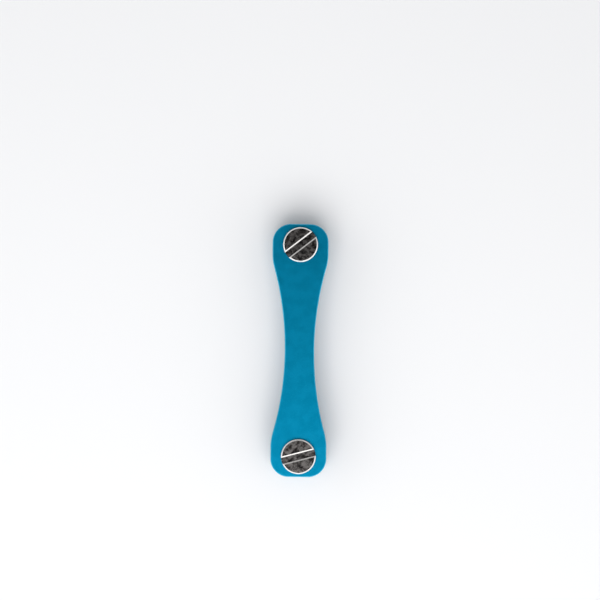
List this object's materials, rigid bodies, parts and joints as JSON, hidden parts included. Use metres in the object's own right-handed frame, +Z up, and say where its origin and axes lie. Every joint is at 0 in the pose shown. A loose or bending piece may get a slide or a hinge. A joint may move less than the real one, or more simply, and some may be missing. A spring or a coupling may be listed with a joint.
{
  "type": "key organiser",
  "caption": "Pocket key organiser: two blue dog-bone aluminium plates on posts with coin-slotted screws, spacer rings and a car key loop that swings out.",
  "frame": {"origin": "under the middle of the organiser, on the surface that its post heads rest on", "axes": "+Z up, out of the front plate; +Y along the organiser towards the post with the car key loop; +X across its width"},
  "size_m": [0.019, 0.086, 0.0144],
  "materials": {
    "anodised_blue": "bead-blasted, satin blue anodised",
    "black_nickel": "dark black-nickel plating on steel, with bright cut edges",
    "steel": "tumbled stainless steel",
    "nylon": "matt black nylon"
  },
  "bodies": {
    "rear_frame": {"rear_plate": "anodised_blue", "upper_post": "black_nickel", "lower_post": "black_nickel", "upper_spacer_1": "steel", "upper_spacer_2": "steel", "upper_spacer_3": "steel", "upper_spacer_4": "steel", "lower_spacer_1": "steel", "lower_spacer_2": "steel", "lower_spacer_3": "steel", "lower_spacer_4": "steel", "lower_spacer_5": "steel", "lower_spacer_6": "steel", "upper_friction_washer_1": "nylon", "upper_friction_washer_2": "nylon", "upper_friction_washer_3": "nylon", "lower_friction_washer_1": "nylon", "lower_friction_washer_2": "nylon"},
    "front_frame": {"front_plate": "anodised_blue"},
    "upper_screw": {"upper_screw": "black_nickel"},
    "lower_screw": {"lower_screw": "black_nickel"},
    "key_loop": {"car_key_loop": "steel"}
  },
  "joints": [
    {"name": "front_plate_lift", "type": "slide", "parent": "rear_frame", "child": "front_frame", "axis": [0, 0, 1], "range_m": [0, 0.0042]},
    {"name": "upper_screw_turn", "type": "hinge", "parent": "front_frame", "child": "upper_screw", "pos_m": [0, 0.036, 0.0126], "axis": [0, 0, 1], "range_deg": [0, 2160]},
    {"name": "lower_screw_turn", "type": "hinge", "parent": "front_frame", "child": "lower_screw", "pos_m": [0, -0.036, 0.0126], "axis": [0, 0, 1], "range_deg": [0, 2160]},
    {"name": "loop_swing", "type": "hinge", "parent": "rear_frame", "child": "key_loop", "pos_m": [0, 0.036, 0.00935], "axis": [0, 0, 1], "continuous": true}
  ],
  "couplings": [
    {"joint": "upper_screw_turn", "follows": "front_plate_lift", "rad_per_m": 8976},
    {"joint": "lower_screw_turn", "follows": "front_plate_lift", "rad_per_m": 8976}
  ]
}
